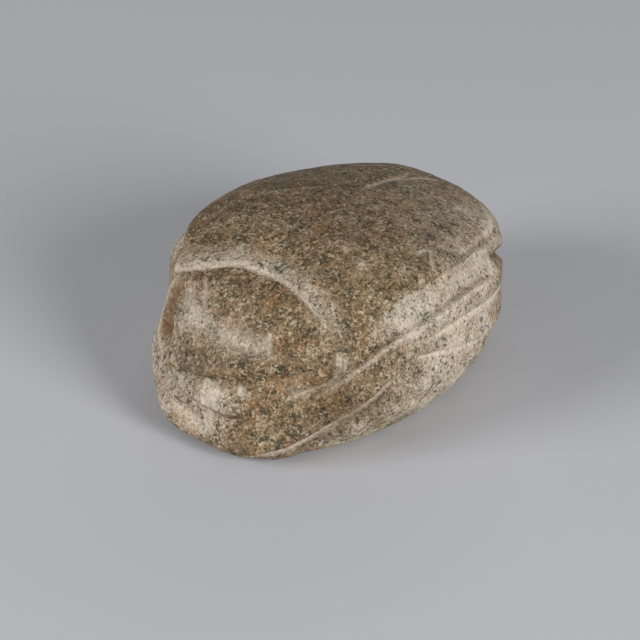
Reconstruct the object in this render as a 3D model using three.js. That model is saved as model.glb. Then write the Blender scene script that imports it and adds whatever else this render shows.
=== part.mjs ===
// Scarab amulet: a resting beetle carved in the round from one pebble of speckled granite.
// Millimetres, +Z up, head towards -Y, tail towards +Y, origin at the centre of the footprint.
import * as THREE from "three";
import { mergeVertices } from "three/addons/utils/BufferGeometryUtils.js";

// Driving dimensions, in millimetres.
const LENGTH = 70; // head to tail
const WIDTH = 49; // across the wing cases
const HEIGHT = 28.5; // underside to crown
const WIDEST_FROM_HEAD = 31; // where the plan has its full width

// The body at its two ends and its flank: "bulge" is the superellipse power of the upper profile,
// "waist" the height of the widest line, "undercut" the share of the plan's radius by which the
// flat underside is set in, and "plan" the power of that half of the plan.
const HEAD_END = { bulge: 1.9, waist: 3, undercut: 0.27, plan: 2.05 };
const TAIL_END = { bulge: 2.05, waist: 12.5, undercut: 0.29, plan: 2 };
const FLANK = { bulge: 3.3, waist: 10.5, undercut: 0.31 };

// How the starting sphere is shared out from crown (0) to the middle of the underside (1).
const WAIST_SHARE = 0.62;
const SOLE_SHARE = 0.76;

// Carving fades out over this height, so that the underside stays flat.
const SOLE_MARGIN = 2.5;

// Facet edges: fine beside a cut, longer away from it, longest on the underside.
const FINE_EDGE = 1;
const EDGE_GROWTH = 0.5;
const COARSE_EDGE = 3.6;
const SOLE_EDGE = 8;

const { lerp, clamp, smoothstep } = THREE.MathUtils;
const widestY = WIDEST_FROM_HEAD - LENGTH / 2;

// ---- The plain body ----

// Plan radius and profile of the body towards one compass bearing.
function meridian(bearing) {
  const along = Math.sin(bearing);
  const end = along < 0 ? HEAD_END : TAIL_END;
  const reach = along < 0 ? WIDEST_FROM_HEAD : LENGTH - WIDEST_FROM_HEAD;
  const across = Math.abs(Math.cos(bearing)) / (WIDTH / 2);
  const radius = (across ** end.plan + Math.abs(along / reach) ** end.plan) ** (-1 / end.plan);
  const endShare = along * along;
  return {
    radius,
    bulge: lerp(FLANK.bulge, end.bulge, endShare),
    waist: lerp(FLANK.waist, end.waist, endShare),
    undercut: lerp(FLANK.undercut, end.undercut, endShare),
  };
}

// The point of the plain body that a direction of the starting sphere goes to.
function bodyPoint(direction) {
  const bearing = Math.atan2(direction.y, direction.x);
  const drop = Math.acos(clamp(direction.z, -1, 1)) / Math.PI;
  const { radius, bulge, waist, undercut } = meridian(bearing);
  let share;
  let z;
  if (drop < WAIST_SHARE) {
    const turn = ((drop / WAIST_SHARE) * Math.PI) / 2;
    share = Math.sin(turn) ** (2 / bulge);
    z = waist + (HEIGHT - waist) * Math.cos(turn) ** (2 / bulge);
  } else if (drop < SOLE_SHARE) {
    const turn = (((drop - WAIST_SHARE) / (SOLE_SHARE - WAIST_SHARE)) * Math.PI) / 2;
    share = 1 - undercut * (1 - Math.cos(turn));
    z = waist * (1 - Math.sin(turn));
  } else {
    share = ((1 - undercut) * (1 - drop)) / (1 - SOLE_SHARE);
    z = 0;
  }
  const x = radius * share * Math.cos(bearing);
  const y = widestY + radius * share * Math.sin(bearing);
  return new THREE.Vector3(x, y, z);
}

// 1 on the plain body, less inside it and more outside it.
function bodyLevel(point) {
  const y = point.y - widestY;
  const { radius, bulge, waist, undercut } = meridian(Math.atan2(y, point.x));
  const share = Math.hypot(point.x, y) / radius;
  if (point.z >= waist) {
    const rise = (point.z - waist) / (HEIGHT - waist);
    return (share ** bulge + rise ** bulge) ** (1 / bulge);
  }
  const fall = clamp(1 - point.z / waist, 0, 1);
  return share / (1 - undercut * (1 - Math.sqrt(1 - fall * fall)));
}

function bodyNormal(point) {
  const step = 0.02;
  const slope = ["x", "y", "z"].map((axis) => {
    const ahead = point.clone();
    const behind = point.clone();
    ahead[axis] += step;
    behind[axis] -= step;
    return bodyLevel(ahead) - bodyLevel(behind);
  });
  return new THREE.Vector3(...slope).normalize();
}

// Moves a point along a ray from the body's core until it lies on the plain body.
function seat(point) {
  const core = new THREE.Vector3(0, point.y * 0.6, HEIGHT / 3);
  const ray = point.clone().sub(core);
  let inside = 0.3;
  let outside = 3;
  for (let halving = 0; halving < 40; halving += 1) {
    const middle = (inside + outside) / 2;
    const tooFar = bodyLevel(core.clone().addScaledVector(ray, middle)) > 1;
    if (tooFar) outside = middle;
    else inside = middle;
  }
  return core.addScaledVector(ray, inside);
}

// ---- Cuts: carved lines that run along the body ----

// A cut has a groove (depth, half width) and two banks: how far the stone stands up on the left
// and on the right of it, dying away over "reach". It tapers out over fadeIn and fadeOut.
class Cut {
  constructor(places, shape) {
    const { depth, width, left = 0, right = 0, reach = 4, fadeIn = 4, fadeOut = 4 } = shape;
    Object.assign(this, { depth, width, left, right, reach, fadeIn, fadeOut });
    const route = new THREE.CatmullRomCurve3(places.map((place) => seat(new THREE.Vector3(...place))));
    this.length = route.getLength();
    this.path = route.getSpacedPoints(Math.ceil(this.length / 1.2)).map(seat);
  }

  // How far a point is from the cut, how far along it, and on which side (1 is left, -1 is right).
  nearest(point, normal) {
    const best = { distance: Infinity };
    const stretch = new THREE.Vector3();
    const away = new THREE.Vector3();
    for (let i = 0; i + 1 < this.path.length; i += 1) {
      stretch.subVectors(this.path[i + 1], this.path[i]);
      away.subVectors(point, this.path[i]);
      const share = clamp(away.dot(stretch) / stretch.lengthSq(), 0, 1);
      away.addScaledVector(stretch, -share);
      const distance = away.length();
      if (distance < best.distance) {
        best.distance = distance;
        best.along = ((i + share) / (this.path.length - 1)) * this.length;
        best.side = Math.sign(stretch.cross(away).dot(normal));
      }
    }
    return best;
  }

  // Depth of the groove and height of the banks at a point of the body.
  at(point, normal) {
    const { distance, along, side } = this.nearest(point, normal);
    const fade =
      smoothstep(along, 0, this.fadeIn) * smoothstep(this.length - along, 0, this.fadeOut);
    const groove = fade * this.depth * Math.exp(-((distance / this.width) ** 2));
    const leftShare = smoothstep(side * distance, -this.width, this.width);
    const fall = Math.exp(-((distance / this.reach) ** 2));
    const bank = fade * lerp(this.right, this.left, leftShare) * fall;
    return { distance, groove, bank };
  }
}

// A cut and its mirror image on the other flank, which runs from tail to head, so that its left
// and right banks stay in place. The first places, up to farStart, are worn away on the far flank.
function onBothFlanks(places, shape, farStart = 0) {
  const mirrored = places.slice(farStart).map(([x, y, z]) => [-x, y, z]).reverse();
  const { fadeIn, fadeOut } = shape;
  return [new Cut(places, shape), new Cut(mirrored, { ...shape, fadeIn: fadeOut, fadeOut: fadeIn })];
}

// Flank lines run from head to tail on the +X side, so that left is up and right is down.
const flankLines = [
  // Lower edge of the wing case, standing proud of a hollow below it.
  [
    [[17.5, -19.5, 21.5], [19.6, -12.5, 23.5], [21, -5, 24], [21.2, 3, 23.4], [20.2, 10, 22.2], [19, 15, 20]],
    { depth: 0.3, width: 1.25, left: 0.5, right: -0.8, reach: 3.6, fadeIn: 8, fadeOut: 5 },
  ],
  // Upper edge of the folded legs, from the throat to the tail.
  [
    [[11.7, -29.5, 12.6], [14.8, -27, 13.6], [17.8, -23.2, 16], [20.6, -17.5, 18.8], [23, -9, 20],
      [23.2, 2, 19.9], [21.7, 13, 17]],
    { depth: 0.7, width: 1.25, left: -0.3, right: 0.4, reach: 3.4, fadeIn: 3, fadeOut: 8 },
    3,
  ],
  // Between the middle and the hind leg.
  [
    [[23.2, -12.5, 17.2], [24.2, -6, 16.9], [24.2, 0.2, 16.3], [23, 9, 14.3], [19.5, 19, 12.5]],
    { depth: 0.7, width: 1.3, left: 0.1, right: -0.1, fadeIn: 6, fadeOut: 6 },
  ],
  // Lower edge of the hind leg, above the plinth.
  [
    [[23.1, -13.8, 15.2], [24, -10.3, 14.2], [24.5, -5.4, 12.7], [24.2, 0, 10.8], [23.6, 5, 9.2],
      [22, 11, 8], [18.5, 19, 6.5], [11, 28, 6]],
    { depth: 0.8, width: 1.5, left: 0.4, right: -0.4, reach: 3.4, fadeIn: 4, fadeOut: 8 },
  ],
  // Lower edge of the foreleg, sloping down to the chin.
  [
    [[4, -34.3, 2.2], [12.4, -31, 4.6], [17.5, -26, 8.2], [20.5, -21, 11], [22.6, -16, 14.2]],
    { depth: 0.9, width: 1.3, left: 0.5, right: -0.6, reach: 3.6, fadeIn: 4, fadeOut: 4 },
  ],
];

// Cuts that cross the body run from -X to +X, so that left is towards the tail.
const crossLines = [
  // Front edge of the wing cases.
  [
    [[-18.5, -19.4, 20], [-14.5, -20.7, 22.2], [-10.9, -20.5, 23.6], [-6, -19.1, 24.9], [-1.6, -18.9, 25],
      [2.3, -19.2, 24.9], [7, -20.6, 24.1], [13.5, -22.6, 21], [16.8, -23.4, 17.6]],
    { depth: 1.0, width: 1.5, left: 0.4, right: 0.1, fadeIn: 2, fadeOut: 2 },
  ],
  // Front edge of the shield behind the head.
  [
    [[-12.7, -22.4, 21.6], [-12.2, -23.6, 20.9], [-11.4, -24.9, 19.8], [-9.8, -26.3, 19],
      [-8.3, -27.3, 18.3], [-2.5, -28.3, 17.8], [3.6, -28.2, 17.7], [8, -27, 18]],
    { depth: 0.8, width: 1.8, fadeIn: 2, fadeOut: 5 },
  ],
  // Brow: the head stands over the face plate. Its right end runs up beside the shield.
  [
    [[-10, -30.5, 12.3], [-8.1, -31.7, 11.6], [-4.5, -32.2, 12.1], [-0.8, -32.1, 12.9], [2, -31.6, 13.6],
      [5.4, -30.8, 14.4], [8, -30, 14.9], [13, -27.1, 16.2], [15.2, -24.3, 18.1]],
    { depth: 0.4, width: 1.25, left: 0.5, right: -0.5, reach: 3.6, fadeIn: 2, fadeOut: 6 },
  ],
  // Front edge of the face plate, over the chin.
  [
    [[-8.6, -32.3, 9], [-5, -33.4, 8.5], [-2.1, -34, 8.3], [0.9, -34.2, 8], [3.4, -34, 8],
      [5.5, -33.3, 9.1]],
    { depth: 0.3, width: 1.2, left: 0.7, right: -0.7, reach: 3, fadeIn: 2, fadeOut: 2 },
  ],
  // Rear edge of the wing cases, round the tail from flank to flank.
  [
    [[-20.7, -1, 24.3], [-20.3, 6, 23.4], [-19.2, 12.1, 22.3], [-17.3, 19.1, 20.2], [-15.3, 22.2, 20.1],
      [-11.5, 24.6, 21], [-6, 26.4, 21.8], [0, 27, 22.2], [6, 26.4, 21.8], [11.5, 24.6, 21],
      [15.3, 22.2, 20.1], [17.3, 19.1, 20.2], [19.2, 12.1, 22.3], [20.3, 6, 23.4], [20.7, -1, 24.3]],
    { depth: 0.5, width: 1.25, left: -0.2, right: 0.3, reach: 3.4, fadeIn: 8, fadeOut: 8 },
  ],
  // Deep fold under the tail, between the wing cases and the hind legs.
  [
    [[-20.6, 12.5, 19.6], [-19.9, 17, 18.2], [-18.9, 20.8, 16.4], [-17.2, 23.6, 14.4],
      [-15, 26.6, 12.2], [-10, 31, 10.2], [0, 33.5, 9.4], [10, 31, 10.2], [15, 26.6, 12.2],
      [17.2, 23.6, 14.4], [18.9, 20.8, 16.4], [19.9, 17, 18.2], [20.6, 12.5, 19.6]],
    { depth: 1.4, width: 1.35, left: 0.1, right: 0.2, fadeIn: 3, fadeOut: 3 },
  ],
];

// Folds between the neck and the forelegs: deep and clean on the far side, worn on the near side.
const farFold = new Cut(
  [[-13.6, -22.3, 20.9], [-15.1, -23.4, 18.8], [-15.4, -24.9, 16.9], [-14.8, -26.4, 15.4],
    [-13.4, -27.8, 14.6], [-11.4, -29.2, 14.3]],
  { depth: 1.6, width: 1.5, right: 0.3, fadeIn: 2.5, fadeOut: 4 },
);
const nearFold = new Cut(
  [[15.5, -23.6, 18.8], [16.6, -23.7, 17.3], [17, -24.4, 16], [16.2, -25.7, 14.6], [14.3, -27.7, 13.6],
    [11.8, -29.6, 12.4], [9, -31, 11]],
  { depth: 0.8, width: 1.3, fadeIn: 1, fadeOut: 6 },
);

// Teeth of the face plate: short cuts down from the brow.
const toothCuts = [
  [[-8, -32, 11], [-7.5, -32.7, 9.2]],
  [[-2.6, -32.6, 12], [-1.7, -33.5, 10], [-0.9, -34.2, 8.1], [-0.9, -34.7, 5.8]],
  [[3.6, -31.9, 13], [3.7, -32.7, 11.2]],
].map((places) => new Cut(places, { depth: 0.9, width: 1.25, fadeIn: 1, fadeOut: 1 }));

// The seam between the wing cases shows on their rear half only.
const seam = new Cut(
  [[0, 6, 28], [0, 8.4, 27.7], [0.4, 13.1, 27], [1.3, 15.9, 26.4], [1.9, 17.7, 25.9], [3.4, 22.1, 24.4]],
  { depth: 0.45, width: 1.2, fadeIn: 3, fadeOut: 1 },
);

const cuts = [
  ...flankLines.flatMap(([places, shape, farStart]) => onBothFlanks(places, shape, farStart)),
  ...crossLines.map(([places, shape]) => new Cut(places, shape)),
  farFold,
  nearFold,
  ...toothCuts,
  seam,
];

// ---- Broad swellings and hollows, as [centre, radius, height] ----

const lobes = [
  [[0, -24, 21.5], 5, 0.5], // shield
  [[0, -30.5, 15], 4.5, 0.4], // head
  [[-20.5, -20.5, 14.5], 5.5, -1.5], // far waist
  [[-20.8, -12.5, 22], 5, 0.6], // far shoulder
  [[-17.5, 9, 24.5], 7, -0.4], // far wing case
  [[19, -22, 13], 5, 0.3], // near foreleg
  [[3, 31, 20], 7, -0.8], // rump
  [[18, 22.5, 13], 5, -0.8], // upper near haunch
  [[19, 20, 8], 6, -0.4], // lower near haunch
  [[21.5, 10, 5], 5, 0.4], // near hind foot
  [[4, -34, 3], 8, 0.25], // front of the plinth
  [[-8.5, -33, 5], 4, 0.9], // far front corner of the plinth
  [[6, -33.5, 1.5], 5, 0.5], // lower edge of the plinth
  [[10.5, -30.5, 1.5], 4, 0.6], // near front corner of the plinth
  [[19.5, -15, 2], 7, -0.6], // near foot
  [[17.5, -19, 1.5], 5, -0.9], // its worn tip
  [[14.5, -26.5, 2], 3.5, -1.8], // chip in the foot
];

// How far the carved stone stands over (or, below zero, under) the plain body.
function relief(point, normal) {
  let banks = 0;
  let deepest = 0;
  for (const cut of cuts) {
    const { groove, bank } = cut.at(point, normal);
    banks += bank;
    deepest = Math.max(deepest, groove);
  }
  for (const [centre, radius, height] of lobes) {
    const away = point.distanceTo(new THREE.Vector3(...centre));
    banks += height * Math.exp(-((away / radius) ** 2));
  }
  return (banks - deepest) * smoothstep(point.z, 0, SOLE_MARGIN);
}

// ---- Facets ----

// The edge length wanted at a point of the body.
function wantedEdge(point) {
  if (point.z < 0.01) return SOLE_EDGE;
  const normal = bodyNormal(point);
  const clear = Math.min(...cuts.map((cut) => cut.nearest(point, normal).distance));
  return Math.min(FINE_EDGE + EDGE_GROWTH * Math.max(0, clear - 1), COARSE_EDGE);
}

// Splits faces at the middles that middleOf(a, b) gives for their edges; it gives -1 for none.
function splitFaces(faces, middleOf) {
  const known = new Map();
  const lookUp = (a, b) => {
    const key = `${Math.min(a, b)} ${Math.max(a, b)}`;
    if (!known.has(key)) known.set(key, middleOf(a, b));
    return known.get(key);
  };
  return faces.flatMap((face) => {
    const found = face.map((corner, i) => lookUp(corner, face[(i + 1) % 3]));
    const count = found.filter((middle) => middle >= 0).length;
    if (count === 0) return [face];
    // Turn the face so that its first edge is split and, of two split edges, the last is whole.
    const isFirst = (middle, i) => middle >= 0 && (count !== 2 || found[(i + 2) % 3] < 0);
    const first = found.findIndex(isFirst);
    const [a, b, c] = [0, 1, 2].map((i) => face[(first + i) % 3]);
    const [ab, bc, ca] = [0, 1, 2].map((i) => found[(first + i) % 3]);
    if (count === 1) return [[a, ab, c], [ab, b, c]];
    if (count === 2) return [[a, ab, c], [ab, bc, c], [ab, b, bc]];
    return [[a, ab, ca], [ab, b, bc], [ca, bc, c], [ab, bc, ca]];
  });
}

// Halves the edges that are longer on the body than they should be.
function splitLongEdges(directions, faces) {
  return splitFaces(faces, (a, b) => {
    const middle = directions[a].clone().add(directions[b]).normalize();
    const length = bodyPoint(directions[a]).distanceTo(bodyPoint(directions[b]));
    const isLong = length > wantedEdge(bodyPoint(middle)) * 1.35;
    return isLong ? directions.push(middle) - 1 : -1;
  });
}

// Evens out the facets: each corner above the sole moves towards the middle of its neighbours.
function relax(points, faces) {
  const sums = points.map(() => new THREE.Vector3());
  const counts = points.map(() => 0);
  for (const face of faces) {
    face.forEach((corner, i) => {
      sums[corner].add(points[face[(i + 1) % 3]]).add(points[face[(i + 2) % 3]]);
      counts[corner] += 2;
    });
  }
  return points.map((point, i) => {
    if (point.z < SOLE_MARGIN) return point;
    return seat(point.clone().lerp(sums[i].divideScalar(counts[i]), 0.5));
  });
}

function carvedStone() {
  const ball = new THREE.IcosahedronGeometry(1, 7);
  ball.deleteAttribute("normal");
  ball.deleteAttribute("uv");
  const merged = mergeVertices(ball, 1e-5);
  const spots = merged.getAttribute("position");
  const directions = [];
  for (let i = 0; i < spots.count; i += 1) {
    directions.push(new THREE.Vector3().fromBufferAttribute(spots, i).normalize());
  }
  const corners = merged.getIndex().array;
  let faces = [];
  for (let i = 0; i < corners.length; i += 3) faces.push([...corners.slice(i, i + 3)]);
  for (let pass = 0; pass < 4; pass += 1) faces = splitLongEdges(directions, faces);

  let points = directions.map(bodyPoint);
  for (let pass = 0; pass < 6; pass += 1) points = relax(points, faces);

  const carved = points.map((point) => {
    if (point.z < 1e-6) return point;
    const normal = bodyNormal(point);
    return point.clone().addScaledVector(normal, relief(point, normal));
  });
  const stone = new THREE.BufferGeometry();
  stone.setAttribute("position", new THREE.Float32BufferAttribute(carved.flatMap((p) => [p.x, p.y, p.z]), 3));
  stone.setIndex(faces.flat());
  // The carving moves the outline a little, so the footprint is centred again.
  stone.computeBoundingBox();
  const middle = stone.boundingBox.getCenter(new THREE.Vector3());
  stone.translate(-middle.x, -middle.y, -stone.boundingBox.min.z);
  stone.computeVertexNormals();
  return stone;
}

const granite = new THREE.MeshStandardMaterial({ color: 0x8a7657, roughness: 0.8, metalness: 0 });

const scarab = new THREE.Mesh(carvedStone(), granite);
scarab.name = "scarab";

const amulet = new THREE.Group();
amulet.add(scarab);

export default amulet;
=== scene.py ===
"""Scarab amulet carved from one pebble of speckled granite: its looks, over the CAD frame.

The carver's sizes are in millimetres, with the head towards -Y and the tail towards +Y.
They become metres when the stone is set on the frame. "Near" is the +X flank, which the camera
sees, and "far" is the -X flank.
"""
import math

import bpy
import numpy as np
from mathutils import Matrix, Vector


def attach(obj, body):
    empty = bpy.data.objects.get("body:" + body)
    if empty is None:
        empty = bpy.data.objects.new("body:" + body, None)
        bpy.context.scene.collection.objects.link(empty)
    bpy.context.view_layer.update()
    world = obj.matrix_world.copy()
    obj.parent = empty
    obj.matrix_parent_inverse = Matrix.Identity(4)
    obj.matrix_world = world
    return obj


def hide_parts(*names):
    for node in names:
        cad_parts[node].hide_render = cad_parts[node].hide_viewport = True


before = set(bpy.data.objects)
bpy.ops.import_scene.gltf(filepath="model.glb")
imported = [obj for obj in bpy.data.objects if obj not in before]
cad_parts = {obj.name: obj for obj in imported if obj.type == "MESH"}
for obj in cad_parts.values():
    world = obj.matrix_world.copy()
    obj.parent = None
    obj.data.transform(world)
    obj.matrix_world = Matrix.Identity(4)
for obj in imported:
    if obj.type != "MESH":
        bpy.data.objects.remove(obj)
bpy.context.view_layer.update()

MM = 0.001

# ---- Driving dimensions of the plain body, as in the CAD source ----

LENGTH = 70
WIDTH = 49
HEIGHT = 28.5
WIDEST_FROM_HEAD = 31
HEAD_END = dict(bulge=1.9, waist=3, undercut=0.27, plan=2.05)
TAIL_END = dict(bulge=2.05, waist=12.5, undercut=0.29, plan=2)
FLANK = dict(bulge=3.3, waist=10.5, undercut=0.31)
WIDEST_Y = WIDEST_FROM_HEAD - LENGTH / 2

# How the starting cube's directions are shared out from crown (0) to the middle of the sole (1).
WAIST_SHARE = 0.66
SOLE_SHARE = 0.8
SOLE_MARGIN = 2.5  # carving fades out over this height
CUBE_DOUBLINGS = 7  # 2 ** 7 squares along each edge of the starting cube

# Handling has smoothed the stone above one height, and left it rough below another.
ROUGH_BELOW = 4
HANDLED_ABOVE = 16
HANDLED_ROUGHNESS = 0.35


def lerp(a, b, share):
    return a + (b - a) * share


def smoothstep(value, low, high):
    share = np.clip((value - low) / (high - low), 0, 1)
    return share * share * (3 - 2 * share)


# ---- The plain body ----


def meridian(bearing):
    """Plan radius towards each compass bearing, and its profile: bulge, waist and undercut."""
    along = np.sin(bearing)
    is_head = along < 0
    reach = np.where(is_head, WIDEST_FROM_HEAD, LENGTH - WIDEST_FROM_HEAD)
    plan = np.where(is_head, HEAD_END["plan"], TAIL_END["plan"])
    across = np.abs(np.cos(bearing)) / (WIDTH / 2)
    radius = (across**plan + np.abs(along / reach) ** plan) ** (-1 / plan)

    def profile(name):
        return lerp(FLANK[name], np.where(is_head, HEAD_END[name], TAIL_END[name]), along * along)

    return radius, profile("bulge"), profile("waist"), profile("undercut")


def body_points(directions):
    """The points of the plain body that directions from the cube's middle go to."""
    bearing = np.arctan2(directions[:, 1], directions[:, 0])
    drop = np.arccos(np.clip(directions[:, 2], -1, 1)) / math.pi
    radius, bulge, waist, undercut = meridian(bearing)
    upper_turn = np.clip(drop / WAIST_SHARE, 0, 1) * math.pi / 2
    upper_share = np.abs(np.sin(upper_turn)) ** (2 / bulge)
    upper_z = waist + (HEIGHT - waist) * np.abs(np.cos(upper_turn)) ** (2 / bulge)
    lower_turn = np.clip((drop - WAIST_SHARE) / (SOLE_SHARE - WAIST_SHARE), 0, 1) * math.pi / 2
    lower_share = 1 - undercut * (1 - np.cos(lower_turn))
    lower_z = waist * (1 - np.sin(lower_turn))
    sole_share = (1 - undercut) * (1 - drop) / (1 - SOLE_SHARE)
    is_upper, is_sole = drop < WAIST_SHARE, drop >= SOLE_SHARE
    share = np.where(is_upper, upper_share, np.where(is_sole, sole_share, lower_share))
    z = np.where(is_upper, upper_z, np.where(is_sole, 0, lower_z))
    x = radius * share * np.cos(bearing)
    y = WIDEST_Y + radius * share * np.sin(bearing)
    return np.stack([x, y, z], axis=1)


def body_level(points):
    """1 on the plain body, less inside it and more outside it."""
    x, y, z = points[:, 0], points[:, 1] - WIDEST_Y, points[:, 2]
    radius, bulge, waist, undercut = meridian(np.arctan2(y, x))
    share = np.hypot(x, y) / radius
    rise = np.maximum(z - waist, 0) / (HEIGHT - waist)
    upper = (share**bulge + rise**bulge) ** (1 / bulge)
    fall = np.clip(1 - z / waist, 0, 1)
    lower = share / (1 - undercut * (1 - np.sqrt(1 - fall * fall)))
    return np.where(z >= waist, upper, lower)


def body_normals(points):
    step = 0.02
    slope = np.empty_like(points)
    for axis in range(3):
        shift = np.zeros(3)
        shift[axis] = step
        slope[:, axis] = body_level(points + shift) - body_level(points - shift)
    return slope / np.linalg.norm(slope, axis=1, keepdims=True)


SEAT_HALVINGS = 40


def seat(points):
    """Moves points along rays from the body's core until they lie on the plain body."""
    core = np.stack([0 * points[:, 0], 0.6 * points[:, 1], 0 * points[:, 0] + HEIGHT / 3], axis=1)
    ray = points - core
    inside = np.full(len(points), 0.3)
    outside = np.full(len(points), 3.0)
    for _ in range(SEAT_HALVINGS):
        middle = (inside + outside) / 2
        too_far = body_level(core + ray * middle[:, None]) > 1
        outside = np.where(too_far, middle, outside)
        inside = np.where(too_far, inside, middle)
    return core + ray * inside[:, None]


# ---- Cuts: carved lines that run along the body ----

PATH_SPACING = 0.8
CURVE_STEPS = 24  # between one place of a curve and the next
FADE = 4  # length over which a cut starts and ends, unless it says otherwise
FADED_OUT = 2.5  # half widths from its middle at which a bank, groove or mark is gone
CRISP_EDGE = (-0.3, 0.4)  # a mark that keeps to one side starts across this band


def spline(places, spacing):
    """A smooth curve through the places, as evenly spaced points."""
    places = np.asarray(places, float)
    padded = np.vstack([2 * places[0] - places[1], places, 2 * places[-1] - places[-2]])
    share = np.linspace(0, 1, CURVE_STEPS, endpoint=False)[:, None]
    pieces = []
    for a, b, c, d in zip(padded, padded[1:], padded[2:], padded[3:]):
        linear = c - a
        square = 2 * a - 5 * b + 4 * c - d
        cube = -a + 3 * b - 3 * c + d
        pieces.append(b + 0.5 * (linear * share + square * share**2 + cube * share**3))
    dense = np.vstack(pieces + [places[-1:]])
    run = np.concatenate([[0], np.cumsum(np.linalg.norm(np.diff(dense, axis=0), axis=1))])
    stops = np.linspace(0, run[-1], max(2, math.ceil(run[-1] / spacing) + 1))
    return np.stack([np.interp(stops, run, dense[:, axis]) for axis in range(3)], axis=1)


class Cut:
    """A groove with a bank on its left and right, and the marks that lie along it.

    Each mark is (strength, shift, half width, side): its middle lies "shift" millimetres to the
    left of the groove, and a side of 1 or -1 keeps it to the left or right of a crisp edge.
    """

    def __init__(self, places, depth=0, width=0.6, left=0, right=0, reach=4, step=0.6,
                 fade_in=FADE, fade_out=FADE, **marks):
        self.path = seat(spline(seat(np.asarray(places, float)), PATH_SPACING))
        self.depth, self.width = depth, width
        self.left, self.right, self.reach, self.step = left, right, reach, step
        self.fade_in, self.fade_out = fade_in, fade_out
        self.marks = marks

    def apply(self, points, normals, banks, groove, marks):
        """Adds this cut's relief and marks to the arrays of those points that it reaches."""
        ends = [FADED_OUT * self.width]
        if self.left or self.right:
            ends.append(FADED_OUT * self.reach)
        ends += [abs(shift) + FADED_OUT * band for _, shift, band, _ in self.marks.values()]
        widest = max(ends)
        low, high = self.path.min(axis=0) - widest, self.path.max(axis=0) + widest
        near = np.flatnonzero(np.all((points > low) & (points < high), axis=1))
        best = np.full(len(near), np.inf)
        along = np.zeros(len(near))
        side = np.zeros(len(near))
        here, up = points[near], normals[near]
        for number, (start, end) in enumerate(zip(self.path, self.path[1:])):
            stretch = end - start
            away = here - start
            share = np.clip(away @ stretch / (stretch @ stretch), 0, 1)
            away = away - share[:, None] * stretch
            distance = np.linalg.norm(away, axis=1)
            closer = distance < best
            best[closer] = distance[closer]
            along[closer] = number + share[closer]
            side[closer] = np.sign(np.einsum("ij,ij->i", np.cross(stretch, away), up))[closer]
        length = np.linalg.norm(np.diff(self.path, axis=0), axis=1).sum()
        along *= length / (len(self.path) - 1)
        fade = smoothstep(along, 0, self.fade_in) * smoothstep(length - along, 0, self.fade_out)
        across = side * best
        dip = fade * self.depth * np.exp(-((best / self.width) ** 2))
        groove[near] = np.maximum(groove[near], dip)
        left_share = smoothstep(across, -self.step, self.step)
        bank = lerp(self.right, self.left, left_share) * np.exp(-((best / self.reach) ** 2))
        banks[near] += fade * bank
        # Along a line, the dirt mark is partly painted shade in the groove or under its edge, and
        # the chalk mark is partly a painted highlight on its crisp edge.
        for name, (strength, shift, band, edge) in self.marks.items():
            spread = fade * strength * np.exp(-(((across - shift) / band) ** 2))
            if edge:
                spread *= smoothstep(edge * across, *CRISP_EDGE)
            marks[name][near] = np.maximum(marks[name][near], spread)


def on_both_flanks(places, far_start=0, **shape):
    """A cut and its mirror image on the other flank, which runs from tail to head.

    The far_start first places are worn away on the far flank.
    """
    mirrored = [(-x, y, z) for x, y, z in reversed(places[far_start:])]
    turned = dict(shape, fade_in=shape.get("fade_out", FADE), fade_out=shape.get("fade_in", FADE))
    return [Cut(places, **shape), Cut(mirrored, **turned)]


def flank_cuts():
    """Lines from head to tail on the +X flank, so that left is up, and their mirror images."""
    wing_case_edge = [(17.5, -19.5, 21.5), (19.6, -12.5, 23.5), (21, -5, 24), (21.2, 3, 23.4),
                      (20.2, 10, 22.2), (19, 15, 20)]
    leg_top = [(11.7, -29.5, 12.6), (14.8, -27, 13.6), (17.8, -23.2, 16), (20.6, -17.5, 18.8),
               (23, -9, 20), (23.2, 2, 19.9), (21.7, 13, 17)]
    between_legs = [(23.2, -12.5, 17.2), (24.2, -6, 16.9), (24.2, 0.2, 16.3), (23, 9, 14.3),
                    (19.5, 19, 12.5)]
    hind_leg_foot = [(23.1, -13.8, 15.2), (24, -10.3, 14.2), (24.5, -5.4, 12.7), (24.2, 0, 10.8),
                     (23.6, 5, 9.2), (22, 11, 8), (18.5, 19, 6.5), (11, 28, 6)]
    foreleg_foot = [(4, -34.3, 2.2), (12.4, -31, 4.6), (17.5, -26, 8.2), (20.5, -21, 11),
                    (22.6, -16, 14.2)]
    return [
        *on_both_flanks(wing_case_edge, depth=0.2, width=0.5, left=0.5, right=-0.8, reach=3.6,
                        step=0.7, fade_in=8, fade_out=5, bare=(1, -2, 5, -1),
                        chalk=(0.4, -2, 1.5, -1)),
        *on_both_flanks(leg_top, far_start=3, depth=0.45, width=0.45, left=-0.3, right=0.4,
                        reach=3.4, step=0.45, fade_in=9, fade_out=8, grime=(0.25, 0.3, 0.3, 0),
                        chalk=(0.7, -0.6, 0.35, 0)),
        *on_both_flanks(leg_top[2:], far_start=1, right=0.35, reach=1.1, step=0.4, fade_in=6,
                        fade_out=8),
        *on_both_flanks(between_legs, depth=0.5, width=0.45, left=0.15, right=-0.15, step=0.4,
                        fade_in=6, fade_out=6, chalk=(1.4, -0.2, 0.5, 0),
                        grime=(0.25, 0.9, 0.5, 0)),
        *on_both_flanks(hind_leg_foot, depth=0.6, width=0.5, left=0.4, right=-0.4, reach=3.4,
                        step=0.5, fade_in=3, fade_out=8, chalk=(1.6, 0, 0.5, 0)),
        # The dark mark below the foreleg's foot line is a painted shadow.
        *on_both_flanks(foreleg_foot, depth=0.6, width=0.5, left=0.5, right=-0.6, reach=3.6,
                        step=0.5, fade_in=4, fade_out=6, chalk=(0.9, -0.4, 0.4, 0),
                        grime=(0.3, -1.8, 0.9, -1)),
    ]


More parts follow.
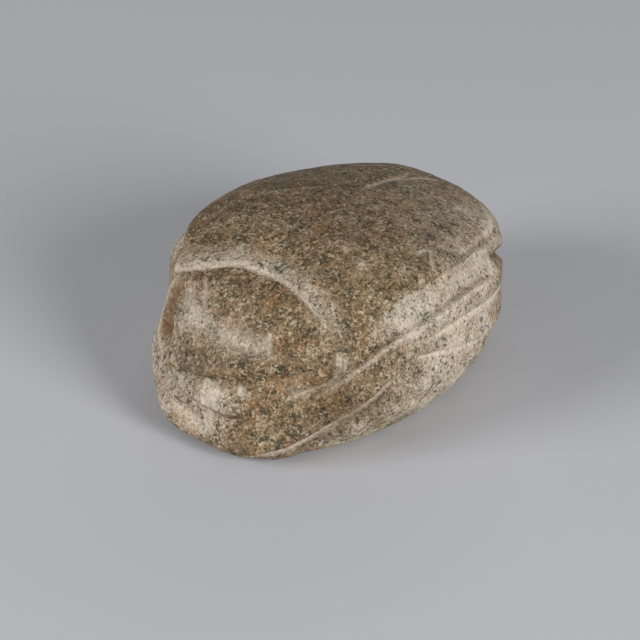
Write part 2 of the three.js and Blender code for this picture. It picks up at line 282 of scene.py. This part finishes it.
def head_cuts():
    """Lines that cross the head from -X to +X, so that left is towards the tail."""
    wing_case_front = [(-18.5, -19.4, 20), (-14.5, -20.7, 22.2), (-10.9, -20.5, 23.6),
                       (-6, -19.1, 24.9), (-1.6, -18.9, 25), (2.3, -19.2, 24.9),
                       (7, -20.6, 24.1), (13.5, -22.6, 21), (16.8, -23.4, 17.6)]
    shield_front = [(-12.7, -22.4, 21.6), (-12.2, -23.6, 20.9), (-11.4, -24.9, 19.8),
                    (-9.8, -26.3, 19), (-8.3, -27.3, 18.3), (-2.5, -28.3, 17.8),
                    (3.6, -28.2, 17.7), (8, -27, 18)]
    inner_strip = [(-10, -21.8, 22.8), (-9.1, -23.1, 22.1), (-7.9, -25.1, 20.7),
                   (-6.7, -26.7, 19.4)]
    shield_nick = [(5.1, -26, 19.8), (5.8, -27.3, 18.4), (6.4, -28.4, 17)]
    brow = [(-10, -30.5, 12.3), (-8.1, -31.7, 11.6), (-4.5, -32.2, 12.1), (-0.8, -32.1, 12.9),
            (2, -31.6, 13.6), (5.4, -30.8, 14.4), (8, -30, 14.9), (13, -27.1, 16.2),
            (15.2, -24.3, 18.1)]
    plate_front = [(-8.6, -32.3, 9), (-5, -33.4, 8.5), (-2.1, -34, 8.3), (0.9, -34.2, 8),
                   (3.4, -34, 8), (5.5, -33.3, 9.1)]
    chin_band = [(-8.5, -33, 6.4), (-6, -33.9, 6.3), (-3.5, -34.6, 5.4), (-1.3, -34.9, 4.6),
                 (0, -35, 3.5)]
    far_fold = [(-13.6, -22.3, 20.9), (-15.1, -23.4, 18.8), (-15.4, -24.9, 16.9),
                (-14.8, -26.4, 15.4), (-13.4, -27.8, 14.6), (-11.4, -29.2, 14.3)]
    near_fold = [(15.5, -23.6, 18.8), (16.6, -23.7, 17.3), (17, -24.4, 16), (16.2, -25.7, 14.6),
                 (14.3, -27.7, 13.6), (11.8, -29.6, 12.4), (9, -31, 11)]
    # The teeth of the face plate, as (depth, places).
    teeth = [
        (0.3, [(-8, -32, 11), (-7.5, -32.7, 9.2)]),
        (0.45, [(-2.6, -32.4, 12.4), (-1.9, -33.5, 10), (-1.2, -34.2, 8.1), (-1, -34.7, 5.8),
                (-0.5, -34.9, 4.2)]),
        (0.3, [(3.6, -31.9, 13), (3.7, -32.7, 11.2)]),
    ]
    return [
        Cut(wing_case_front, depth=0.45, width=0.5, left=0.35, right=-0.3, reach=2.2, step=0.45,
            fade_in=2, fade_out=14, chalk=(0.9, 0.1, 0.35, 0), bare=(0.8, 1.2, 1.8, 1)),
        Cut(shield_front, depth=0.7, width=1.6, fade_in=2, fade_out=5,
            chalk=(0.25, 0.2, 1.3, 0), bare=(0.4, 0.2, 2, 0)),
        Cut(shield_front[:5], depth=0.3, width=0.4, fade_in=1, fade_out=2,
            chalk=(0.7, 0, 0.35, 0)),
        Cut(inner_strip, depth=0.25, width=0.4, fade_in=1, fade_out=2, chalk=(0.6, 0, 0.35, 0)),
        Cut(shield_nick, depth=0.3, width=0.35, fade_in=0.5, fade_out=0.5,
            chalk=(0.7, 0, 0.3, 0)),
        Cut(brow, depth=0.4, width=0.5, left=0.5, right=-0.5, reach=3.6, step=0.6, fade_in=2,
            fade_out=6, grime=(0.3, 0.7, 1.2, 0)),
        Cut(plate_front, depth=0.3, width=0.5, left=0.6, right=-0.7, reach=3, step=0.5,
            fade_in=2, fade_out=2, grime=(0.5, 0, 0.45, 0)),
        Cut(plate_front[2:5], depth=0.2, width=0.45, fade_in=1, fade_out=1,
            grime=(0.7, 0, 0.5, 0)),
        Cut(chin_band, depth=0.2, width=0.6, fade_in=1, fade_out=2, chalk=(0.7, 0, 0.7, 0)),
        Cut(far_fold, depth=1.6, width=1.2, right=0.3, fade_in=2.5, fade_out=4,
            hollow=(1.3, 0, 1.5, 0), grime=(1.0, 0.6, 0.8, 0), chalk=(0.8, -2.3, 0.5, 0)),
        Cut(near_fold, depth=0.7, width=0.5, fade_in=1, fade_out=6, chalk=(0.7, 0, 0.4, 0)),
        *(Cut(places, depth=depth, width=0.45, fade_in=0.8, fade_out=0.8,
              chalk=(2.0, 0.2, 0.55, 0)) for depth, places in teeth),
    ]


def tail_cuts():
    """Lines round the tail, the seam between the wing cases, and a few old scratches."""
    case_rear = [(-20.7, -1, 24.3), (-20.3, 6, 23.4), (-19.2, 12.1, 22.3), (-17.3, 19.1, 20.2),
                 (-15.3, 22.2, 20.1), (-11.5, 24.6, 21), (-6, 26.4, 21.8), (0, 27, 22.2),
                 (6, 26.4, 21.8), (11.5, 24.6, 21), (15.3, 22.2, 20.1), (17.3, 19.1, 20.2),
                 (19.2, 12.1, 22.3), (20.3, 6, 23.4), (20.7, -1, 24.3)]
    tail_fold = [(-20.6, 12.5, 19.6), (-19.9, 17, 18.2), (-18.9, 20.8, 16.4), (-17.2, 23.6, 14.4),
                 (-15, 26.6, 12.2), (-10, 31, 10.2), (0, 33.5, 9.4), (10, 31, 10.2),
                 (15, 26.6, 12.2), (17.2, 23.6, 14.4), (18.9, 20.8, 16.4), (19.9, 17, 18.2),
                 (20.6, 12.5, 19.6)]
    seam = [(0, 6, 28), (0, 8.4, 27.7), (0.4, 13.1, 27), (0.7, 15.7, 26.4), (1, 17.8, 25.9),
            (-0.2, 21.8, 24.7)]
    side_crack = [(1.2, 14, 26.9), (1.9, 17.7, 25.9), (2.4, 19.7, 25.3), (3.4, 22.1, 24.4),
                  (4.7, 23.2, 23.9)]
    # Old scratches, as (how chalky, places).
    scratches = [
        (0.8, [(16.9, -4, 26.7), (17.5, -0.7, 26.3)]),
        (0.8, [(17.5, -0.7, 26.3), (20.4, -4.3, 24.7)]),
        (0.4, [(-15.1, -4, 27.3), (-10.4, -0.2, 28.1), (-5.6, 4.3, 28.1)]),
    ]
    return [
        Cut(case_rear, depth=0.4, width=0.5, left=-0.2, right=0.3, reach=3.4, step=0.5, fade_in=8,
            fade_out=8, chalk=(0.4, -0.8, 0.4, 0), grime=(0.5, 0.2, 0.4, 0)),
        Cut(tail_fold, depth=1.4, width=1.0, left=0.1, right=0.2, fade_in=3, fade_out=3,
            grime=(0.5, 0, 0.5, 0), bare=(0.8, -4, 4, -1)),
        Cut(seam, depth=0.3, width=0.4, fade_in=3, fade_out=1, chalk=(0.8, 0.1, 0.4, 0),
            rust=(0.6, 0.1, 0.9, 0)),
        Cut(side_crack, depth=0.25, width=0.4, fade_in=2, fade_out=1, chalk=(0.8, 0.1, 0.4, 0),
            rust=(0.5, 0.1, 0.9, 0)),
        *(Cut(places, depth=0.2, width=0.3, fade_in=0.5, fade_out=0.5,
              chalk=(chalky, 0, 0.35, 0)) for chalky, places in scratches),
    ]


# ---- Broad swellings, and stained, chalky or painted-shade patches, as (centre, radius, amount) ----

LOBES = [
    ((0, -24, 21.5), 5, 0.5),  # shield
    ((0, -30.5, 15), 4.5, 0.4),  # head
    ((-20.5, -20.5, 14.5), 5.5, -1.5),  # far waist
    ((-20.8, -12.5, 22), 5, 0.6),  # far shoulder
    ((-17.5, 9, 24.5), 7, -0.4),  # far wing case
    ((19, -22, 13), 5, 0.3),  # near foreleg
    ((3, 31, 20), 7, -0.8),  # rump
    ((18, 22.5, 13), 5, -0.8),  # upper near haunch
    ((19, 20, 8), 6, -0.4),  # lower near haunch
    ((21.5, 10, 5), 5, 0.4),  # near hind foot
    ((4, -34, 3), 8, 0.25),  # front of the plinth
    ((-8.5, -33, 5), 4, 0.9),  # far front corner of the plinth
    ((6, -33.5, 1.5), 5, 0.5),  # lower edge of the plinth
    ((10.5, -30.5, 1.5), 4, 0.6),  # near front corner of the plinth
    ((19.5, -15, 2), 7, -0.6),  # near foot
    ((17.5, -19, 1.5), 5, -0.9),  # its worn tip
    ((14.5, -26.5, 2), 3.5, -1.8),  # chip in the foot
]

# Pale stone where the skin was cut away, chalky tool marks (along crisp edges also painted
# highlights), rust, dirt and painted shade, and the smooth brown floor of a fold, which only the
# cuts lay down.
PATCHES = dict(
    bare=[
        ((24, 4, 13), 10, 1.0),  # near flank
        ((23, -7, 6), 9, 1.0),  # foot of the near flank
        ((-24, 4, 13), 10, 1.0),  # far flank
        ((-23, -7, 6), 9, 1.0),  # foot of the far flank
        ((-17, -26, 8), 7, 0.9),  # far foreleg
        ((-20, -22, 15), 3.5, 0.8),  # behind the far fold
        ((-8, -34, 7), 6, 0.7),  # far side of the face plate
        ((0, 36, 6), 12, 0.7),  # tail
        ((-9, -26, 18), 4, 0.3),  # far side of the shield
        ((15, 13, 25), 11, 0.3),  # near rear of the wing cases
        ((16.5, -22, 3.5), 6, 0.8),  # plinth under the foreleg
        ((-0.5, -34, 8), 4, 0.5),  # middle of the face plate
    ],
    chalk=[
        ((-1, -27.8, 18.2), 2.4, 0.4),  # front of the shield
        ((4.5, -27.9, 17.8), 1.6, 0.3),
        ((-9.5, -27, 18), 2.2, 0.3),
        ((-17, -20, 20.5), 1.8, 0.5),  # far shoulder
        ((-0.2, -33.4, 10.6), 1.3, 1.4),  # middle tooth
        ((16.6, -23.7, 17.3), 0.9, 0.8),  # near fold
        ((12, -29, 13.3), 1.4, 0.35),
        ((12.2, -11.6, 27.2), 0.55, 1.0),  # three white flecks on the back
        ((8.4, -10.3, 27.9), 0.4, 1.0),
        ((8.6, -12.6, 27.5), 0.35, 0.8),
        ((22, -13.7, 19.5), 1.5, 0.7),  # top of the near legs
    ],
    rust=[
        ((3, -22.4, 22.8), 2.2, 0.7),  # rear of the shield
        ((10, -30, 13.5), 4, 0.5),  # near cheek
        ((16, -25, 11.5), 4.5, 0.5),  # foreleg
        ((0.8, 16, 26.6), 2.0, 0.4),  # seam
        ((4, -34, 6), 3, 0.4),  # chin
    ],
    # Darker patches: painted shade on the crown, the far wing case and the near foreleg, where
    # less light falls, over a browner crown; the dark fleck is the stone's own.
    grime=[
        ((-4.5, -31, 14), 3, 0.45),  # head
        ((17, -25.5, 10.5), 5, 1.0),  # foreleg
        ((-8, -21.5, 24), 2.5, 0.4),  # rear of the shield
        ((0, 4, 29), 17, 0.4),  # crown
        ((-14, 6, 26), 12, 0.35),  # far wing case
        ((7.2, -1.8, 28.4), 0.6, 1.0),  # dark fleck on the back
    ],
    hollow=[],
)


def add_patches(points, patches, target):
    for centre, radius, amount in patches:
        away = np.linalg.norm(points - np.array(centre), axis=1)
        target += amount * np.exp(-((away / radius) ** 2))


# ---- The stone ----


def select_only(piece):
    bpy.ops.object.select_all(action="DESELECT")
    piece.select_set(True)
    bpy.context.view_layer.objects.active = piece


def fine_cube():
    """A cube with each side divided into fine squares, all closed."""
    bpy.ops.object.select_all(action="DESELECT")
    bpy.ops.mesh.primitive_cube_add(size=2)
    cube = bpy.context.object
    bpy.ops.object.mode_set(mode="EDIT")
    bpy.ops.mesh.select_all(action="SELECT")
    for _ in range(CUBE_DOUBLINGS):
        bpy.ops.mesh.subdivide(number_cuts=1)
    bpy.ops.object.mode_set(mode="OBJECT")
    return cube


def corners_of(piece):
    flat = np.empty(len(piece.data.vertices) * 3)
    piece.data.vertices.foreach_get("co", flat)
    return flat.reshape(-1, 3)


def keep_attribute(piece, name, values):
    attribute = piece.data.attributes.new(name, "FLOAT", "POINT")
    attribute.data.foreach_set("value", values.astype(np.float32))


def weather(piece, name, strength, size):
    """Roughens the piece by a displacement that its vertex group "rough" holds back."""
    texture = bpy.data.textures.new(name, "CLOUDS")
    texture.noise_scale = size * MM
    modifier = piece.modifiers.new(name, "DISPLACE")
    modifier.texture = texture
    modifier.texture_coords = "LOCAL"
    modifier.mid_level = 0.5
    modifier.strength = strength * MM
    modifier.vertex_group = "rough"
    bpy.ops.object.modifier_apply(modifier=name)


def carve(points):
    """The carved places of the body's points, and the marks that the carving leaves."""
    normals = body_normals(points)
    banks = np.zeros(len(points))
    groove = np.zeros(len(points))
    marks = {name: np.zeros(len(points)) for name in PATCHES}
    for cut in [*flank_cuts(), *head_cuts(), *tail_cuts()]:
        cut.apply(points, normals, banks, groove, marks)
    add_patches(points, LOBES, banks)
    for name, patches in PATCHES.items():
        add_patches(points, patches, marks[name])
    relief = (banks - groove) * above_sole(points)
    return points + normals * relief[:, None], marks


def above_sole(points):
    """0 on the sole and 1 where the carving has its full depth."""
    return smoothstep(points[:, 2], 0, SOLE_MARGIN)


def centred(points):
    """The points with the middle of their footprint at the origin."""
    low, high = points.min(axis=0), points.max(axis=0)
    return points - [(low[0] + high[0]) / 2, (low[1] + high[1]) / 2, low[2]]


def carved_stone(material):
    stone = fine_cube()
    stone.name = "scarab_stone"
    stone.data.name = "scarab_stone"
    # Equal angles from the cube's middle make the squares nearly even.
    directions = np.tan(corners_of(stone) * math.pi / 4)
    directions /= np.linalg.norm(directions, axis=1, keepdims=True)
    points = body_points(directions)
    carved, marks = carve(points)
    stone.data.vertices.foreach_set("co", (centred(carved) * MM).ravel())
    stone.data.update()
    for name, values in marks.items():
        keep_attribute(stone, name, np.clip(values, 0, 1))

    # The lower edge is rougher than the handled crown; the sole stays flat.
    rough = stone.vertex_groups.new(name="rough")
    handled = smoothstep(points[:, 2], ROUGH_BELOW, HANDLED_ABOVE)
    weights = above_sole(points) * lerp(1, HANDLED_ROUGHNESS, handled)
    for number, weight in enumerate(weights):
        rough.add([number], float(weight), "REPLACE")
    select_only(stone)
    weather(stone, "hand wear", strength=0.5, size=5)
    weather(stone, "tool marks", strength=0.35, size=1.2)
    stone.vertex_groups.clear()
    bpy.ops.object.shade_smooth()

    stone.data.materials.append(material)
    return stone


# ---- Materials ----


class Nodes:
    """Short calls that add and join shader nodes."""

    def __init__(self, material):
        material.use_nodes = True
        self.tree = material.node_tree
        self.shader = self.tree.nodes["Principled BSDF"]

    def add(self, kind, inputs=None, **settings):
        node = self.tree.nodes.new(kind)
        for name, value in settings.items():
            setattr(node, name, value)
        for name, value in (inputs or {}).items():
            self.feed(node.inputs[name], value)
        return node

    def feed(self, socket, value):
        if isinstance(value, bpy.types.NodeSocket):
            self.tree.links.new(value, socket)
        else:
            socket.default_value = value

    def math(self, operation, a, b=0.0, clamp=False):
        node = self.add("ShaderNodeMath", {0: a, 1: b}, operation=operation, use_clamp=clamp)
        return node.outputs[0]

    def mix(self, share, a, b, blend="MIX"):
        node = self.add("ShaderNodeMix", {"Factor": share}, data_type="RGBA", blend_type=blend)
        self.feed(node.inputs[6], a)
        self.feed(node.inputs[7], b)
        return node.outputs[2]

    def ramp(self, value, stops):
        node = self.add("ShaderNodeValToRGB", {"Fac": value})
        elements = node.color_ramp.elements
        while len(elements) < len(stops):
            elements.new(0.5)
        for element, (position, colour) in zip(elements, stops):
            element.position = position
            element.color = srgb(*colour)
        return node.outputs["Color"]

    def times(self, a, b, clamp=False):
        return self.math("MULTIPLY", a, b, clamp)

    def plus(self, a, b, clamp=False):
        return self.math("ADD", a, b, clamp)

    def tinted(self, colour, share, stain_or_shade):
        """The colour, with a stain or painted shade soaked into this share of it."""
        return self.mix(share, colour, self.mix(1.0, colour, stain_or_shade, "MULTIPLY"))


class StoneNodes(Nodes):
    """Adds the stone's patterns, all on its own coordinates in millimetres."""

    def __init__(self, material):
        super().__init__(material)
        place = self.add("ShaderNodeTexCoord").outputs["Object"]
        self.in_mm = self.scaled(place, 1 / MM)
        swirl = self.vector("SUBTRACT", self.noise(1.6, 2.0).outputs["Color"], (0.5, 0.5, 0.5))
        self.bent = self.vector("ADD", self.in_mm, self.scaled(swirl, 0.6))

    def vector(self, operation, a, b):
        return self.add("ShaderNodeVectorMath", {0: a, 1: b}, operation=operation).outputs[0]

    def scaled(self, vector, factor):
        inputs = {0: vector, "Scale": factor}
        return self.add("ShaderNodeVectorMath", inputs, operation="SCALE").outputs[0]

    def noise(self, scale, detail, shift=0):
        """Noise with this many clouds to a millimetre; a shift makes it another noise."""
        place = self.vector("ADD", self.in_mm, (shift, 0, 0))
        return self.add("ShaderNodeTexNoise", {"Vector": place, "Scale": scale, "Detail": detail})

    def drift(self, scale, detail, shift, amount):
        """A cloudy value about zero."""
        cloud = self.noise(scale, detail, shift).outputs["Fac"]
        return self.times(self.math("SUBTRACT", cloud, 0.5), amount)

    def grains(self, scale):
        """A random value for each grain, with this many grains to a millimetre."""
        voronoi = self.add("ShaderNodeTexVoronoi", {"Vector": self.bent, "Scale": scale})
        parts = self.add("ShaderNodeSeparateColor", {"Color": voronoi.outputs["Color"]})
        return parts.outputs["Red"]

    def mark(self, name):
        return self.add("ShaderNodeAttribute", attribute_name=name).outputs["Fac"]


def srgb(red, green, blue):
    """A colour given in the usual 0 to 255 steps, as the linear colour that shaders take."""
    parts = []
    for value in (red, green, blue):
        share = value / 255
        parts.append(share / 12.92 if share <= 0.04045 else ((share + 0.055) / 1.055) ** 2.4)
    return (*parts, 1)


# Colours of the grains from dark to light, as (tone, colour): under the handled skin, and bare.
HANDLED_TONES = [
    (0.12, (62, 57, 44)), (0.3, (97, 82, 61)), (0.44, (123, 103, 77)),
    (0.6, (146, 124, 95)), (0.76, (168, 148, 119)), (0.9, (194, 179, 154)),
]
BARE_TONES = [
    (0.1, (98, 92, 80)), (0.26, (144, 132, 115)), (0.42, (178, 164, 144)),
    (0.6, (199, 185, 167)), (0.76, (214, 203, 189)), (0.9, (226, 218, 207)),
]
DARK_GRAIN = srgb(54, 58, 47)
CREAM_GRAIN = srgb(214, 202, 178)
RUST_STAIN = srgb(255, 214, 168)
MOSS_STAIN = srgb(186, 198, 172)
DIRT_AND_SHADE_TINT = srgb(150, 136, 112)
# Multiplied in as dirt, and as painted shade in grooves, under edges, on the crown and on the
# near foreleg.
HOLLOW_BROWN = srgb(146, 108, 74)
# Pale tool marks, also used as painted highlights along crisp edges.
CHALK_AND_HIGHLIGHT = srgb(224, 212, 194)


def granite_material():
    """Fine tan granite: mixed grains, dark clumps, rust stains, chalky tool marks that also paint
    highlights on crisp edges, and dirt that also paints shade.
    """
    material = bpy.data.materials.new("speckled_granite")
    n = StoneNodes(material)

    fine = n.grains(5.2)
    tone = n.plus(n.times(n.grains(2.9), 0.36), n.times(fine, 0.3))
    for shade in (0.17, n.drift(0.35, 3.0, 0, 0.8), n.drift(3.0, 2.0, 20, 0.7)):
        tone = n.plus(tone, shade)
    ragged = n.drift(1.3, 4.0, 0, 2.2)
    bare = n.mark("bare")
    bare_share = n.plus(bare, n.times(ragged, bare), clamp=True)
    stone = n.mix(bare_share, n.ramp(tone, HANDLED_TONES), n.ramp(tone, BARE_TONES))

    # Rust and moss colour the stone in clouds, and rust is weaker where it is bare.
    clouds = n.plus(n.drift(0.24, 4.0, 0, 3.5), n.drift(0.8, 3.0, 60, 2.5))
    stained = n.math("SUBTRACT", 1.0, n.times(bare_share, 0.6))
    rust_share = n.math("MAXIMUM", n.times(clouds, stained, clamp=True), n.mark("rust"))
    stone = n.tinted(stone, n.times(rust_share, 0.7), RUST_STAIN)
    moss_share = n.math("SUBTRACT", n.drift(0.7, 3.0, 40, 5.0), 0.25, clamp=True)
    stone = n.tinted(stone, n.times(moss_share, 0.7), MOSS_STAIN)

    # Dark and cream grains lie in clumps.
    odd = n.grains(2.3)
    is_dark = n.math("GREATER_THAN", n.plus(odd, n.drift(0.7, 2.0, 80, 1.7)), 0.93)
    stone = n.mix(n.times(is_dark, 0.8), stone, DARK_GRAIN)
    is_cream = n.math("LESS_THAN", n.plus(odd, n.drift(0.9, 2.0, 100, 1.2)), 0.06)
    stone = n.mix(n.times(is_cream, 0.45), stone, CREAM_GRAIN)

    # The marks of carving and wear, with ragged edges. Chalk along crisp edges is also a painted
    # highlight, and the dirt mark is also painted shade in grooves, under edges and on the crown.
    hollow = n.mark("hollow")
    hollow_share = n.plus(hollow, n.times(ragged, hollow), clamp=True)
    stone = n.mix(n.times(hollow_share, 0.7), stone, HOLLOW_BROWN)
    chalk_breaks = n.plus(n.drift(2.4, 4.0, 0, 3.2), 0.9)
    chalk_share = n.times(n.mark("chalk"), chalk_breaks, clamp=True)
    stone = n.mix(n.times(chalk_share, 0.7), stone, CHALK_AND_HIGHLIGHT)
    grime_share = n.times(n.mark("grime"), n.plus(ragged, 0.9), clamp=True)
    stone = n.tinted(stone, n.times(grime_share, 0.75), DIRT_AND_SHADE_TINT)

    n.feed(n.shader.inputs["Base Color"], stone)
    n.feed(n.shader.inputs["Roughness"], n.plus(n.times(chalk_share, 0.2), 0.68))
    n.shader.inputs["Specular IOR Level"].default_value = 0.22
    bumps = n.plus(n.times(fine, 0.4), n.noise(2.4, 4.0).outputs["Fac"])
    bump = n.add("ShaderNodeBump", {"Height": bumps, "Strength": 0.5, "Distance": 0.12 * MM})
    n.feed(n.shader.inputs["Normal"], bump.outputs["Normal"])
    return material


PALE_GREY = srgb(205, 206, 210)  # the floor and the room


def floor_material():
    material = bpy.data.materials.new("pale_floor")
    n = Nodes(material)
    n.shader.inputs["Base Color"].default_value = PALE_GREY
    n.shader.inputs["Roughness"].default_value = 0.9
    n.shader.inputs["Specular IOR Level"].default_value = 0.1
    return material


# ---- Floor, light and camera ----


def pale_floor():
    bpy.ops.object.select_all(action="DESELECT")
    bpy.ops.mesh.primitive_plane_add(size=6)
    floor = bpy.context.object
    floor.name = "floor"
    floor.data.materials.append(floor_material())


def towards(azimuth, elevation):
    """The unit vector from the object to a viewer; azimuth 0 stands before the head."""
    a, e = math.radians(azimuth), math.radians(elevation)
    return Vector((math.sin(a) * math.cos(e), -math.cos(a) * math.cos(e), math.sin(e)))


def soft_light(name, azimuth, elevation, distance, size, power):
    bpy.ops.object.light_add(type="AREA")
    light = bpy.context.object
    light.name = name
    light.data.shape = "DISK"
    light.data.size = size
    light.data.energy = power
    aim = towards(azimuth, elevation)
    light.location = aim * distance
    light.rotation_mode = "QUATERNION"
    light.rotation_quaternion = aim.to_track_quat("Z", "Y")


def studio():
    pale_floor()
    soft_light("key", azimuth=75, elevation=22, distance=0.9, size=0.45, power=6.5)
    soft_light("front", azimuth=-35, elevation=22, distance=0.9, size=0.5, power=5)
    soft_light("back", azimuth=200, elevation=20, distance=1.1, size=0.7, power=1.5)
    world = bpy.data.worlds.new("studio")
    bpy.context.scene.world = world
    world.use_nodes = True
    background = world.node_tree.nodes["Background"]
    background.inputs["Color"].default_value = PALE_GREY
    background.inputs["Strength"].default_value = 0.24
    bpy.context.scene.view_settings.view_transform = "Standard"


CAMERA_AZIMUTH = 34
CAMERA_ELEVATION = 31
CAMERA_DISTANCE = 484.2 * MM
CAMERA_LENS = 168.7
# The camera aims a little above and to the left of the middle of the sole's widest line.
CAMERA_AIM = (0, WIDEST_Y * MM, 0)
AIM_UP = 8.07 * MM
AIM_LEFT = 0.48 * MM


def product_camera():
    back = towards(CAMERA_AZIMUTH, CAMERA_ELEVATION)
    turn = back.to_track_quat("Z", "Y")
    right, up = turn @ Vector((1, 0, 0)), turn @ Vector((0, 1, 0))
    bpy.ops.object.camera_add()
    camera = bpy.context.object
    camera.data.lens = CAMERA_LENS
    camera.rotation_mode = "QUATERNION"
    camera.rotation_quaternion = turn
    camera.location = Vector(CAMERA_AIM) + up * AIM_UP - right * AIM_LEFT + back * CAMERA_DISTANCE
    bpy.context.scene.camera = camera


product_camera()
studio()
scarab = carved_stone(granite_material())
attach(scarab, "root")
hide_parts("scarab")
